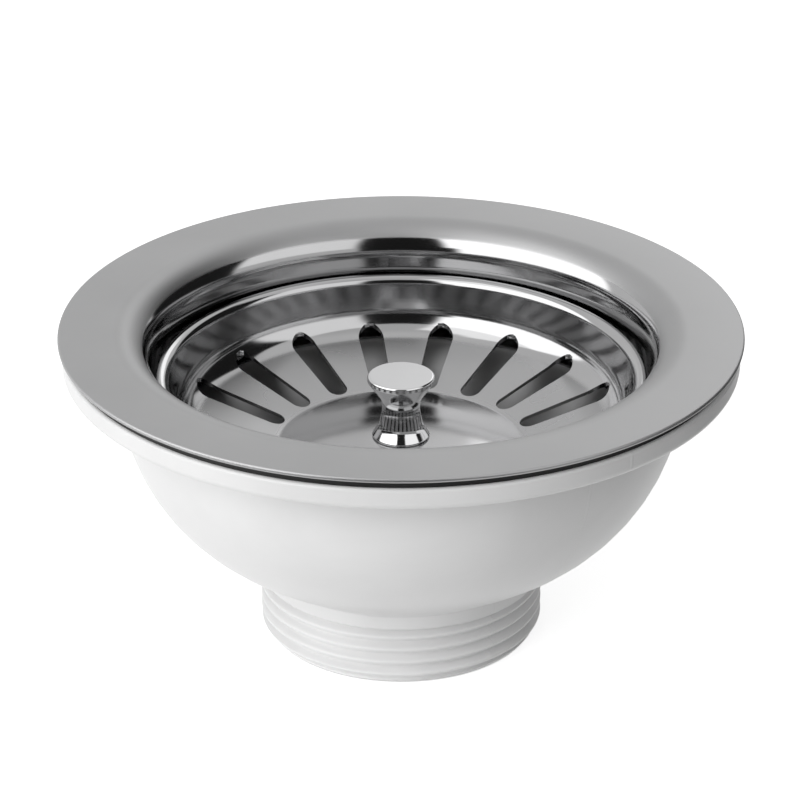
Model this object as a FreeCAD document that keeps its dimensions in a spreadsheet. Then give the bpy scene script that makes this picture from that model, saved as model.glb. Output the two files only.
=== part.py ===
"""Basket strainer waste for a kitchen sink.

Dished steel flange, white moulded body with a G 1 1/2 outlet, and a loose slotted
basket with a turned knob, a rubber plug seal and a catch that sits in the hollow
centre screw.  Millimetres, +Z up, origin at the centre of the outlet's lower end.
"""
import FreeCAD, Part
import math
import os
import re
import Sketcher

V = FreeCAD.Vector
os.makedirs("parts", exist_ok=True)
doc = FreeCAD.newDocument("basket_strainer_waste")

# Driving sizes in millimetres and degrees; a share is a part of another size
SIZES = [
    ("overall_height", 55.0, "outlet end to flange top"),
    ("flange_radius", 57.0, "outer edge of the sink flange"),
    ("flange_sheet", 0.8, "steel of the flange"),
    ("flange_lip", 1.6, "depth of the turned-down outer edge"),
    ("lip_round", 1.1, "rounding of that edge"),
    ("flange_breadth", 15.1, "flange edge to the upright wall"),
    ("throat_round", 5.5, "rolled lip from flat to wall"),
    ("depth_share", 0.3545, "flange top to the foot of the wall, of the height"),
    ("floor_slope", 30.0, "slope of the flange floor"),
    ("floor_round", 4.0, "rounding at both ends of that slope"),
    ("seat_share", 0.68, "outer edge of the plug seat, of the wall radius"),
    ("drain_share", 0.477, "drain opening inside the seat, of the wall radius"),
    ("hub_clear", 0.583, "screw head to the catch above it"),
    ("hub_margin", 1.0, "flat hub beyond the screw head"),
    ("spoke_width", 5.0, "arms of the cross"),
    ("gasket_upper", 1.3, "thickness of the gasket under the flange"),
    ("gasket_lower", 1.3, "thickness of the gasket on the body"),
    ("ring_inset", 0.6, "flange edge to body rim edge"),
    ("ring_height", 3.8, "body rim, top to bottom"),
    ("ring_round", 1.3, "lower edge of the body rim"),
    ("bowl_margin", 5.4, "flange wall to outside of the bowl"),
    ("bowl_wall", 2.5, "moulded wall"),
    ("bowl_slope", 33.0, "slope of the bowl floor"),
    ("belly_share", 0.853, "rounded belly, of the shorter run beside it"),
    ("outlet_radius", 23.9, "crest of the outlet thread"),
    ("outlet_length", 12.1, "outlet spigot"),
    ("outlet_wall", 3.4, "wall of the outlet spigot"),
    ("outlet_lead", 1.5, "taper of the outlet end, inwards"),
    ("outlet_lead_height", 2.0, "taper of the outlet end, upwards"),
    ("boss_wall", 2.1, "centre boss beyond the nut's corners"),
    ("boss_low", 8.0, "underside of the boss above the outlet end"),
    ("rib_width", 3.0, "webs that carry the boss"),
    ("nut_flats", 18.0, "across flats of the brass nut"),
    ("nut_height", 8.0, "brass nut"),
    ("screw_radius", 5.95, "hollow screw over its thread"),
    ("screw_play", 0.05, "thread clearance"),
    ("head_radius", 9.5, "head of the hollow screw"),
    ("head_height", 2.6, "head of the hollow screw"),
    ("key_flats", 8.0, "key socket in that head"),
    ("key_depth", 3.0, "key socket in that head"),
    ("screw_bore", 3.6, "socket for the basket catch"),
    ("basket_sheet", 0.6, "steel of the basket"),
    ("rim_gap", 0.85, "basket rim to flange wall"),
    ("rim_depth", 7.8, "flange top to basket rim"),
    ("rim_lip", 1.8, "turned-down edge of the basket rim"),
    ("rim_round", 0.8, "rounding of that edge"),
    ("rim_slope", 16.0, "fall of the rim towards the middle"),
    ("brow_inset", 3.0, "flange wall to the top of the basket wall"),
    ("wall_inset", 4.17, "flange wall to the foot of the basket wall"),
    ("brow_share", 0.09, "rounding from rim to wall, of the wall's run"),
    ("dish_share", 0.324, "rounding from wall to slotted floor, of the wall's run"),
    ("dish_slope", 14.2, "slope of the slotted floor"),
    ("valley_share", 0.4916, "low ring between floor and dome, of the wall radius"),
    ("valley_round", 2.0, "rounding of that ring"),
    ("dome_slope", 8.3, "fall of the dome away from the knob"),
    ("crown_share", 0.4854, "where the crown turns down, of the low ring"),
    ("crown_bend", 3.4, "radius of the crown, in radii of the low ring"),
    ("slot_count", 18, "drain slots"),
    ("slot_lead", 0.8, "low ring to inner end of a slot"),
    ("slot_stop", 0.37, "outer end of a slot to the foot of the wall"),
    ("slot_inner_width", 3.6, "slot width at its inner end"),
    ("slot_outer_width", 4.4, "slot width at its outer end"),
    ("slot_phase", 18.6, "turn of the basket as it lies"),
    ("knob_height", 11.1, "turned knob"),
    ("knob_top", 5.65, "radius of the knob's disc"),
    ("knob_disc", 0.9, "edge of that disc"),
    ("knob_waist", 3.2, "radius of the waist"),
    ("knob_waist_high", 6.6, "upper end of the waist"),
    ("knob_waist_low", 4.6, "lower end of the waist"),
    ("knob_foot", 4.85, "radius of the foot"),
    ("knob_foot_edge", 1.2, "edge of the foot"),
    ("stem_radius", 2.0, "basket screw"),
    ("stem_play", 0.1, "clearance round the basket screw"),
    ("stem_engage", 6.0, "thread held in the knob"),
    ("stem_head_radius", 3.2, "head of the basket screw"),
    ("stem_head", 2.0, "head of the basket screw"),
    ("carrier_inset", 2.0, "drain edge to seal carrier"),
    ("carrier_height", 4.0, "seal carrier, plate and boss"),
    ("carrier_boss", 6.0, "radius of its boss under the basket"),
    ("carrier_plate", 1.7, "its plate"),
    ("seal_margin", 3.0, "edge of the seat to plug seal"),
    ("seal_height", 2.6, "plug seal"),
    ("catch_flange", 12.0, "flange of the catch"),
    ("catch_plate", 1.1, "flange of the catch"),
    ("catch_play", 0.1, "catch to screw socket"),
    ("catch_reach", 16.0, "length of the catch below its flange"),
    ("ring_wire", 0.4, "half section of the grip ring"),
    ("ring_rise", 4.5, "end of the catch to the grip ring"),
]

# Levels, radii and roundings that follow from the driving sizes
DERIVED = [
    ("throat_radius", "flange_radius - flange_breadth"),
    ("throat_depth", "overall_height * depth_share"),
    ("seat_radius", "throat_radius * seat_share"),
    ("drain_radius", "throat_radius * drain_share"),
    ("hub_radius", "head_radius + hub_margin"),
    ("seat_level", "overall_height - throat_depth - (throat_radius - seat_radius) * tan(floor_slope)"),
    ("hub_level", "seat_level - catch_plate - hub_clear - head_height"),
    ("hub_slope", "atan((seat_level - hub_level) / (drain_radius - hub_radius)) / 1 deg"),
    ("boss_level", "hub_level - flange_sheet"),
    ("ring_top", "overall_height - flange_sheet - gasket_upper"),
    ("ring_low", "ring_top - ring_height"),
    ("ring_radius", "flange_radius - ring_inset"),
    ("bowl_radius", "throat_radius + bowl_margin"),
    ("bowl_reach", "bowl_radius - outlet_radius"),
    ("bowl_corner", "outlet_length + bowl_reach * tan(bowl_slope)"),
    ("bowl_run", "min(ring_low - bowl_corner; bowl_reach / cos(bowl_slope))"),
    ("bowl_round", "belly_share * bowl_run * tan(45 + bowl_slope / 2)"),
    ("outlet_bore", "outlet_radius - outlet_wall"),
    ("nut_corner", "nut_flats / sqrt(3)"),
    ("key_corner", "key_flats / sqrt(3)"),
    ("boss_radius", "nut_corner + boss_wall"),
    ("seal_top", "seat_level + seal_height"),
    ("seal_radius", "seat_radius - seal_margin"),
    ("carrier_radius", "drain_radius - carrier_inset"),
    ("dome_level", "seal_top + carrier_height + basket_sheet"),
    ("rim_radius", "throat_radius - rim_gap"),
    ("rim_level", "overall_height - rim_depth"),
    ("brow_radius", "throat_radius - brow_inset"),
    ("wall_radius", "throat_radius - wall_inset"),
    ("valley_radius", "throat_radius * valley_share"),
    ("dome_corner", "valley_radius * crown_share"),
    ("dome_round", "valley_radius * crown_bend"),
    ("valley_level", "dome_level - (valley_radius - dome_corner) * tan(dome_slope)"),
    ("dish_level", "valley_level + (wall_radius - valley_radius) * tan(dish_slope)"),
    ("brow_level", "rim_level - (rim_radius - brow_radius) * tan(rim_slope)"),
    ("wall_lean", "atan((brow_radius - wall_radius) / (brow_level - dish_level)) / 1 deg"),
    ("wall_run", "(brow_level - dish_level) / cos(wall_lean)"),
    ("wall_round", "brow_share * wall_run / tan(45 - (rim_slope + wall_lean) / 2)"),
    ("dish_round", "dish_share * wall_run / tan(45 - (dish_slope + wall_lean) / 2)"),
    ("slot_inner", "valley_radius + slot_lead"),
    ("slot_outer", "wall_radius - slot_stop"),
    ("catch_top", "seat_level"),
    ("catch_low", "catch_top - catch_plate - catch_reach"),
    ("catch_radius", "screw_bore - catch_play"),
    ("stem_hole", "stem_radius + stem_play"),
]

sheet = doc.addObject("Spreadsheet::Sheet", "Sizes")
ROWS = [(alias, str(value)) for alias, value, note in SIZES]
ROWS += [(alias, "=" + formula) for alias, formula in DERIVED]
for row, (alias, content) in enumerate(ROWS, start=1):
    sheet.set("A%d" % row, alias)
    sheet.setAlias("B%d" % row, alias)
for row, (alias, content) in enumerate(ROWS, start=1):
    sheet.set("B%d" % row, content)
for row, (alias, value, note) in enumerate(SIZES, start=1):
    sheet.set("C%d" % row, note)
doc.recompute()
ALIASES = {alias for alias, content in ROWS}


def bind(text):
    """Point every size named in an expression at its cell."""
    return re.sub(r"[a-z_]+", lambda m: "Sizes." + m.group(0) if m.group(0) in ALIASES
                  else m.group(0), str(text))


def size(text):
    """Value of an expression of sizes."""
    return float(sheet.evalExpression(bind(text)))


def plane(body, role):
    return [f for f in body.Origin.OriginFeatures if f.Role == role][0]


def new_body(name):
    body = doc.addObject("PartDesign::Body", name)
    body.Label = name
    return body


def new_sketch(body, name, role="XZ_Plane"):
    sketch = body.newObject("Sketcher::SketchObject", name)
    sketch.AttachmentSupport = [(plane(body, role), "")]
    sketch.MapMode = "FlatFace"
    return sketch


def hold(sketch, kind, *rest):
    """Add a constraint whose last entry is an expression of sizes."""
    index = sketch.addConstraint(Sketcher.Constraint(kind, *rest[:-1], size(rest[-1])))
    sketch.setExpression("Constraints[%d]" % index, bind(rest[-1]))


def pin_down(sketch, geo, pos, across, up):
    """Fix a point of the sketch at two expressions of sizes."""
    for kind, text, axis in (("DistanceX", across, -2), ("DistanceY", up, -1)):
        if abs(size(text)) < 1e-9:
            sketch.addConstraint(Sketcher.Constraint("PointOnObject", geo, pos, axis))
        else:
            hold(sketch, kind, -1, 1, geo, pos, text)


def outline(sketch, corners):
    """Closed outline through corners (across, up, rounding or None)."""
    count = len(corners)
    at = [V(size(c[0]), size(c[1]), 0) for c in corners]
    enter, leave, arcs = [], [], []
    for i, (across, up, rounding) in enumerate(corners):
        back = (at[i - 1] - at[i]).normalize()
        ahead = (at[(i + 1) % count] - at[i]).normalize()
        if not rounding:
            enter.append(at[i])
            leave.append(at[i])
            arcs.append(None)
            continue
        radius = size(rounding)
        half = back.getAngle(ahead) / 2
        run = radius / math.tan(half)
        enter.append(at[i] + back * run)
        leave.append(at[i] + ahead * run)
        middle = at[i] + (back + ahead).normalize() * (radius / math.sin(half))
        left_turn = back.cross(ahead).z < 0
        first, last = (enter[i], leave[i]) if left_turn else (leave[i], enter[i])
        angles = [math.atan2((p - middle).y, (p - middle).x) for p in (first, last)]
        arcs.append((Part.ArcOfCircle(Part.Circle(middle, V(0, 0, 1), radius), *angles), left_turn))
    lines = []
    for i in range(count):
        lines.append(sketch.addGeometry(Part.LineSegment(leave[i], enter[(i + 1) % count])))
    for i, (across, up, rounding) in enumerate(corners):
        before, after = lines[i - 1], lines[i]
        if not rounding:
            sketch.addConstraint(Sketcher.Constraint("Coincident", before, 2, after, 1))
            pin_down(sketch, after, 1, across, up)
            continue
        arc = sketch.addGeometry(arcs[i][0])
        first, last = (1, 2) if arcs[i][1] else (2, 1)
        sketch.addConstraint(Sketcher.Constraint("Tangent", before, 2, arc, first))
        sketch.addConstraint(Sketcher.Constraint("Tangent", after, 1, arc, last))
        hold(sketch, "Radius", arc, rounding)
        corner = sketch.addGeometry(Part.Point(at[i]), True)
        sketch.addConstraint(Sketcher.Constraint("PointOnObject", corner, 1, before))
        sketch.addConstraint(Sketcher.Constraint("PointOnObject", corner, 1, after))
        pin_down(sketch, corner, 1, across, up)


def revolve(body, name, corners):
    """Turned solid from an outline in the upright plane."""
    sketch = new_sketch(body, name + "_outline")
    outline(sketch, corners)
    turned = body.newObject("PartDesign::Revolution", name)
    turned.Profile = sketch
    turned.ReferenceAxis = (sketch, ["V_Axis"])
    turned.Angle = 360
    return turned


def pressed(path, thickness):
    """Section of a pressed sheet: the path is its upper face from the outside in.

    Each entry is (across, up, rounding, heading); heading is the direction of the
    run that follows, in degrees, and the sheet lies on the left of the path.
    """
    under = []
    for i, (across, up, rounding, heading) in enumerate(path):
        first = path[i - 1][3] if i else heading
        last = heading if i + 1 < len(path) else first
        lean = "((%s + %s) / 2 + 90)" % (first, last)
        reach = "%s / cos((%s - %s) / 2)" % (thickness, last, first)
        bent = None
        if rounding:
            turn = size(last) - size(first)
            bent = "%s %s %s" % (rounding, "-" if turn > 0 else "+", thickness)
        under.append(("%s + %s * cos%s" % (across, reach, lean),
                      "%s + %s * sin%s" % (up, reach, lean), bent))
    return [entry[:3] for entry in path] + under[::-1]


def pocket(body, sketch, name):
    """Cut straight through, both ways from the sketch."""
    cut = body.newObject("PartDesign::Pocket", name)
    cut.Profile = sketch
    cut.Type = "ThroughAll"
    cut.Midplane = True
    return cut


def repeat(body, feature, name, count):
    """Repeat a feature evenly about the upright axis."""
    pattern = body.newObject("PartDesign::PolarPattern", name)
    pattern.Originals = [feature]
    pattern.Axis = (plane(body, "Z_Axis"), [""])
    pattern.Angle = 360
    pattern.Occurrences = int(size(count))
    if str(count) in ALIASES:
        pattern.setExpression("Occurrences", bind(count))
    body.Tip = pattern
    return pattern


# Sink flange, pressed from one sheet with a sunk cross over the drain
flange = new_body("sink_flange")
revolve(flange, "flange_pressing", pressed([
    ("flange_radius", "overall_height - flange_lip", None, "90"),
    ("flange_radius", "overall_height", "lip_round", "180"),
    ("throat_radius", "overall_height", "throat_round", "270"),
    ("throat_radius", "overall_height - throat_depth", "floor_round", "(180 + floor_slope)"),
    ("seat_radius", "seat_level", "floor_round", "180"),
    ("drain_radius", "seat_level", "1.6", "(180 + hub_slope)"),
    ("hub_radius", "hub_level", "1.6", "180"),
    ("screw_radius + 0.3", "hub_level", None, "180"),
], "flange_sheet"))
window = new_sketch(flange, "drain_window", "XY_Plane")
reach_low = "hub_radius + 1"
reach_high = "drain_radius - 0.5"
side = "spoke_width / 2"
lows = math.sqrt(size(reach_low) ** 2 - size(side) ** 2)
highs = math.sqrt(size(reach_high) ** 2 - size(side) ** 2)
half = size(side)
angle_low = math.atan2(half, lows)
angle_high = math.atan2(half, highs)
origin_circle = [Part.Circle(V(0, 0, 0), V(0, 0, 1), size(r)) for r in (reach_low, reach_high)]
near = window.addGeometry(Part.LineSegment(V(lows, half, 0), V(highs, half, 0)))
outer = window.addGeometry(Part.ArcOfCircle(origin_circle[1], angle_high, math.pi / 2 - angle_high))
far = window.addGeometry(Part.LineSegment(V(half, highs, 0), V(half, lows, 0)))
inner = window.addGeometry(Part.ArcOfCircle(origin_circle[0], angle_low, math.pi / 2 - angle_low))
for a, end_a, b, end_b in ((near, 2, outer, 1), (outer, 2, far, 1), (far, 2, inner, 2), (inner, 1, near, 1)):
    window.addConstraint(Sketcher.Constraint("Coincident", a, end_a, b, end_b))
for arc, reach in ((outer, reach_high), (inner, reach_low)):
    window.addConstraint(Sketcher.Constraint("Coincident", arc, 3, -1, 1))
    hold(window, "Radius", arc, reach)
window.addConstraint(Sketcher.Constraint("Horizontal", near))
window.addConstraint(Sketcher.Constraint("Vertical", far))
hold(window, "DistanceY", -1, 1, near, 1, side)
hold(window, "DistanceX", -1, 1, far, 1, side)
repeat(flange, pocket(flange, window, "drain_opening"), "drain_openings", 4)

# Gaskets above and below the sink
upper_gasket = new_body("upper_gasket")
revolve(upper_gasket, "upper_gasket_ring", [
    ("throat_radius + throat_round + 0.4", "ring_top", None),
    ("ring_radius - 0.7", "ring_top", None),
    ("ring_radius - 0.7", "ring_top + gasket_upper", None),
    ("throat_radius + throat_round + 0.4", "ring_top + gasket_upper", None),
])
groove_in = "bowl_radius - 0.2"
groove_out = "ring_radius - 1.6"
lower_gasket = new_body("lower_gasket")
revolve(lower_gasket, "lower_gasket_ring", [
    (groove_in, "ring_top - gasket_lower", None),
    (groove_out, "ring_top - gasket_lower", None),
    (groove_out, "ring_top", None),
    (groove_in, "ring_top", None),
])

# Moulded body: rim, bowl, outlet spigot, centre boss on four webs
waste_body = new_body("waste_body")
inside = "bowl_radius - bowl_wall"
floor_lift = "bowl_wall / cos(bowl_slope)"
revolve(waste_body, "bowl", [
    ("outlet_bore", "0", None),
    ("outlet_radius - outlet_lead", "0", None),
    ("outlet_radius", "outlet_lead_height", None),
    ("outlet_radius", "outlet_length", None),
    ("bowl_radius", "outlet_length + (bowl_radius - outlet_radius) * tan(bowl_slope)", "bowl_round"),
    ("bowl_radius", "ring_low", None),
    ("ring_radius", "ring_low", "ring_round"),
    ("ring_radius", "ring_top", "0.6"),
    (groove_out, "ring_top", None),
    (groove_out, "ring_top - gasket_lower", None),
    (groove_in, "ring_top - gasket_lower", None),
    (groove_in, "ring_top", None),
    (inside, "ring_top", None),
    (inside, "outlet_length + (%s - outlet_radius) * tan(bowl_slope) + %s" % (inside, floor_lift),
     "bowl_round - bowl_wall"),
    ("outlet_bore", "outlet_length - (outlet_radius - outlet_bore) * tan(bowl_slope) + %s" % floor_lift, None),
])
revolve(waste_body, "boss", [
    ("screw_radius + 0.25", "boss_low", None),
    ("boss_radius", "boss_low", "0.8"),
    ("boss_radius", "boss_level", "0.8"),
    ("screw_radius + 0.25", "boss_level", None),
])
web = new_sketch(waste_body, "web_outline")
outline(web, [
    ("boss_radius - 1", "boss_low + 1", None),
    ("outlet_bore + 1", "boss_low - 4", None),
    ("outlet_bore + 1", "outlet_length + 1", None),
    ("boss_radius - 1", "boss_level - 2", None),
])
webs = waste_body.newObject("PartDesign::Pad", "web")
webs.Profile = web
webs.Midplane = True
webs.Length = size("rib_width")
webs.setExpression("Length", bind("rib_width"))
repeat(waste_body, webs, "webs", 4)
nest = waste_body.newObject("PartDesign::SubtractivePrism", "nut_nest")
nest.Polygon = 6
nest.setExpression("Circumradius", bind("nut_corner + 0.05"))
nest.setExpression("Height", bind("nut_height"))
nest.AttachmentSupport = [(plane(waste_body, "XY_Plane"), "")]
nest.MapMode = "FlatFace"
nest.setExpression(".AttachmentOffset.Base.z", bind("boss_low"))
waste_body.Tip = nest

# Brass nut pressed into the boss
insert_nut = new_body("insert_nut")
nut = insert_nut.newObject("PartDesign::AdditivePrism", "nut_blank")
nut.Polygon = 6
nut.setExpression("Circumradius", bind("nut_corner"))
nut.setExpression("Height", bind("nut_height"))
nut.AttachmentSupport = [(plane(insert_nut, "XY_Plane"), "")]
nut.MapMode = "FlatFace"
nut.setExpression(".AttachmentOffset.Base.z", bind("boss_low"))
thread = insert_nut.newObject("PartDesign::SubtractiveCylinder", "nut_thread")
thread.setExpression("Radius", bind("screw_radius + screw_play"))
thread.setExpression("Height", bind("nut_height"))
thread.AttachmentSupport = [(plane(insert_nut, "XY_Plane"), "")]
thread.MapMode = "FlatFace"
thread.setExpression(".AttachmentOffset.Base.z", bind("boss_low"))
insert_nut.Tip = thread

# Hollow screw that clamps flange and body and takes the basket's catch
hollow_screw = new_body("hollow_screw")
revolve(hollow_screw, "screw_blank", [
    ("screw_bore", "boss_low", None),
    ("screw_radius - 0.8", "boss_low", None),
    ("screw_radius", "boss_low + 0.8", None),
    ("screw_radius", "hub_level", None),
    ("head_radius", "hub_level", None),
    ("head_radius", "hub_level + head_height", "0.9"),
    ("screw_bore", "hub_level + head_height", None),
])
key = hollow_screw.newObject("PartDesign::SubtractivePrism", "key_socket")
key.Polygon = 6
key.setExpression("Circumradius", bind("key_corner"))
key.setExpression("Height", bind("key_depth"))
key.AttachmentSupport = [(plane(hollow_screw, "XY_Plane"), "")]
key.MapMode = "FlatFace"
key.setExpression(".AttachmentOffset.Base.z", bind("hub_level + head_height - key_depth"))
hollow_screw.Tip = key

# Strainer basket, pressed from one sheet and slotted
basket = new_body("strainer_basket")
revolve(basket, "basket_pressing", pressed([
    ("rim_radius", "rim_level - rim_lip", None, "90"),
    ("rim_radius", "rim_level", "rim_round", "(180 + rim_slope)"),
    ("brow_radius", "brow_level", "wall_round", "(270 - wall_lean)"),
    ("wall_radius", "dish_level", "dish_round", "(180 + dish_slope)"),
    ("valley_radius", "valley_level", "valley_round", "(180 - dome_slope)"),
    ("dome_corner", "dome_level", "dome_round", "180"),
    ("stem_hole", "dome_level", None, "180"),
], "basket_sheet"))
slot = new_sketch(basket, "slot_outline", "XY_Plane")
ends = []
for radius, middle in (("slot_inner_width / 2", "slot_inner + slot_inner_width / 2"),
                       ("slot_outer_width / 2", "slot_outer - slot_outer_width / 2")):
    ends.append((size(radius), size(middle), radius, middle))
lean = math.asin((ends[1][0] - ends[0][0]) / (ends[1][1] - ends[0][1]))
normals = [V(-math.sin(lean), math.cos(lean) * s, 0) for s in (1, -1)]
touch = [[V(e[1], 0, 0) + n * e[0] for n in normals] for e in ends]
quarter = math.pi / 2 + lean
rounds = []
for e, start, stop in ((ends[0], quarter, 2 * math.pi - quarter), (ends[1], -quarter, quarter)):
    circle = Part.Circle(V(e[1], 0, 0), V(0, 0, 1), e[0])
    rounds.append(slot.addGeometry(Part.ArcOfCircle(circle, start, stop)))
upper = slot.addGeometry(Part.LineSegment(touch[1][0], touch[0][0]))
lower = slot.addGeometry(Part.LineSegment(touch[0][1], touch[1][1]))
for a, end_a, b, end_b in ((upper, 2, rounds[0], 1), (lower, 1, rounds[0], 2),
                           (lower, 2, rounds[1], 1), (upper, 1, rounds[1], 2)):
    slot.addConstraint(Sketcher.Constraint("Tangent", a, end_a, b, end_b))
for arc, e in zip(rounds, ends):
    slot.addConstraint(Sketcher.Constraint("PointOnObject", arc, 3, -1))
    hold(slot, "DistanceX", -1, 1, arc, 3, e[3])
    hold(slot, "Radius", arc, e[2])
repeat(basket, pocket(basket, slot, "drain_slot"), "drain_slots", "slot_count")

# Turned knob with a blind thread for the basket screw
knob = new_body("lifting_knob")
revolve(knob, "knob_turning", [
    ("stem_radius + screw_play", "dome_level", None),
    ("knob_foot", "dome_level", "0.2"),
    ("knob_foot", "dome_level + knob_foot_edge", "0.5"),
    ("knob_waist", "dome_level + knob_waist_low", "4"),
    ("knob_waist", "dome_level + knob_waist_high", "3"),
    ("knob_top", "dome_level + knob_height - knob_disc", "0.3"),
    ("knob_top", "dome_level + knob_height", "0.4"),
    ("0", "dome_level + knob_height", None),
    ("0", "dome_level + stem_engage + 0.6", None),
    ("stem_radius + screw_play", "dome_level + stem_engage + 0.6", None),
])

# Seal carrier, plug seal and basket screw
seal_carrier = new_body("seal_carrier")
revolve(seal_carrier, "carrier_turning", [
    ("stem_hole", "seal_top", None),
    ("carrier_radius", "seal_top", None),
    ("carrier_radius", "seal_top + carrier_plate", "0.6"),
    ("carrier_boss", "seal_top + carrier_plate", "0.5"),
    ("carrier_boss - 0.5", "dome_level - basket_sheet", None),
    ("stem_hole", "dome_level - basket_sheet", None),
])
plug_seal = new_body("plug_seal")
revolve(plug_seal, "seal_moulding", [
    ("stem_hole", "seat_level", None),
    ("seal_radius", "seat_level", None),
    ("seal_radius", "seat_level + 0.8", None),
    ("carrier_radius + 1.5", "seal_top", "1.5"),
    ("stem_hole", "seal_top", None),
])
stem_screw = new_body("stem_screw")
revolve(stem_screw, "stem_turning", [
    ("0", "catch_low - stem_head", None),
    ("stem_head_radius", "catch_low - stem_head", "0.6"),
    ("stem_head_radius", "catch_low", None),
    ("stem_radius", "catch_low", None),
    ("stem_radius", "dome_level + stem_engage - 0.5", None),
    ("stem_radius - 0.5", "dome_level + stem_engage", None),
    ("0", "dome_level + stem_engage", None),
])

# Nylon catch with its rubber grip ring
groove_low = "catch_low + ring_rise - ring_wire - 0.1"
groove_high = "catch_low + ring_rise + ring_wire + 0.1"
groove_floor = "screw_bore - 0.05 - 2 * ring_wire"
catch = new_body("catch_spigot")
revolve(catch, "catch_turning", [
    ("stem_hole", "catch_low", None),
    ("catch_radius - 0.4", "catch_low", None),
    ("catch_radius", "catch_low + 0.8", None),
    ("catch_radius", groove_low, None),
    (groove_floor, groove_low, None),
    (groove_floor, groove_high, None),
    ("catch_radius", groove_high, None),
    ("catch_radius", "catch_top - catch_plate", None),
    ("catch_flange", "catch_top - catch_plate", "0.3"),
    ("catch_flange", "catch_top", "0.3"),
    ("stem_hole", "catch_top", None),
])
grip_ring = doc.addObject("Part::Torus", "grip_ring")
grip_ring.Label = "grip_ring"
grip_ring.setExpression("Radius1", bind("screw_bore - 0.05 - ring_wire"))
grip_ring.setExpression("Radius2", bind("ring_wire"))
grip_ring.setExpression(".Placement.Base.z", bind("catch_low + ring_rise"))

# The basket and what is screwed to it lie turned by the slot phase
turned = FreeCAD.Rotation(V(0, 0, 1), size("slot_phase"))
basket.Placement = FreeCAD.Placement(V(0, 0, 0), turned)

NODES = [flange, upper_gasket, lower_gasket, waste_body, insert_nut, hollow_screw, basket,
         knob, seal_carrier, plug_seal, stem_screw, catch, grip_ring]

doc.recompute()
for item in doc.Objects:
    if "Invalid" in item.State or "Error" in item.State:
        raise RuntimeError("%s did not build: %s" % (item.Name, item.State))
for node in NODES:
    if node.Shape.isNull() or not node.Shape.isValid() or len(node.Shape.Solids) != 1:
        raise RuntimeError("%s has no single sound solid" % node.Label)
    node.Shape.exportStep("parts/%s.step" % node.Label)
    box = node.Shape.BoundBox
    print("%-16s volume %9.1f  x %6.2f %6.2f  z %6.2f %6.2f" % (
        node.Label, node.Shape.Volume, box.XMin, box.XMax, box.ZMin, box.ZMax))
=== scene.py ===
"""Basket strainer waste: pressed steel, moulded body, finishes, and the studio.

The flange, the slotted basket, the knob and the white body with its helical outlet
thread are modelled here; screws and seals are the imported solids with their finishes.
"""
import math

import bpy
from bpy.props import FloatProperty, FloatVectorProperty, IntProperty, PointerProperty
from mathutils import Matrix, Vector


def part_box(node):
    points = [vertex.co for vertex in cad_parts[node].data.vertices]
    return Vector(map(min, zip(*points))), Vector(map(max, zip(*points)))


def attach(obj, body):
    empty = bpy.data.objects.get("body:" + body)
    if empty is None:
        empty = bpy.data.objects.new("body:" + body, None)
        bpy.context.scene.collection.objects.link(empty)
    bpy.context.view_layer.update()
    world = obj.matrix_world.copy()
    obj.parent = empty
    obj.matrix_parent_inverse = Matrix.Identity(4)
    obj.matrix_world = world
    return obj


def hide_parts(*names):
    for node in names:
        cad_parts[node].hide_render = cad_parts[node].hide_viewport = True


bl_info = {
    "name": "Basket Strainer Waste",
    "version": (1, 0, 0),
    "blender": (4, 5, 0),
    "location": "View3D > Sidebar > Waste",
    "description": "Models the pieces of a sink waste, finishes them and sets the studio",
    "category": "Object",
}

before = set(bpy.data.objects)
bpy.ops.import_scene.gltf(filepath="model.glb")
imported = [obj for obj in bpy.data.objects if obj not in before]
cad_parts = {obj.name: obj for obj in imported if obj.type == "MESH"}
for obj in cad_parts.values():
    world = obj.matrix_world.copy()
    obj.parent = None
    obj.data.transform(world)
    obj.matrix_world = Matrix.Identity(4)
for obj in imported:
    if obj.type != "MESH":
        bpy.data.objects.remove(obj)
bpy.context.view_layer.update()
BODY_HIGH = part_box("waste_body")[1]
FLANGE_LOW, FLANGE_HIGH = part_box("sink_flange")
KNOB_LOW, KNOB_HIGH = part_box("lifting_knob")
MM = 0.001

# Fixed sizes of the moulded body: gasket groove, centre boss, nut nest and webs
GROOVE_INNER, GROOVE_OUTER, GROOVE_DEPTH = 47.1 * MM, 54.8 * MM, 1.3 * MM
BOSS_LOW, BOSS_RADIUS, BOSS_BORE, BOSS_START = 8.0 * MM, 12.49 * MM, 6.2 * MM, 9.0 * MM
NEST_RADIUS, NEST_LEVEL, NEST_DEPTH = 10.442 * MM, 11 * MM, 10 * MM
WEB_ROOT, WEB_THICKNESS, WEB_BITE = 11.49 * MM, 3 * MM, 1 * MM
WEB_ROOT_LOW, WEB_TIP_LOW, WEB_TIP_HIGH, WEB_DROP = 9 * MM, 4 * MM, 13.1 * MM, 2 * MM

# Form of the outlet thread: places in one pitch, flat and flank as shares of half a pitch, and turns
THREAD_PLACES, THREAD_FLAT, THREAD_FLANK, THREAD_TURNS = 16, 0.10, 0.78, 7
THREAD_PHASE = 1.33
THREAD_JOIN = 0.3 * MM
THREAD_FADE_START, THREAD_FADE = 1.1 * MM, 1.0 * MM
LEAD_ALLOWANCE = 0.2 * MM

# Roundings of the moulded body and its boss, and the flat at the outlet's end
NECK_ROUND, RIM_ROOT_ROUND, RIM_LOW_ROUND, RIM_TOP_ROUND = 0.5 * MM, 0.4 * MM, 1.3 * MM, 0.6 * MM
GROOVE_ROUND, MOUTH_ROUND, THROAT_ROUND = 0.15 * MM, 0.3 * MM, 0.5 * MM
END_ROUND, END_FLAT = 0.4 * MM, 0.7 * MM
BOSS_ROUND, BORE_ROUND = 0.8 * MM, 0.2 * MM

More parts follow.
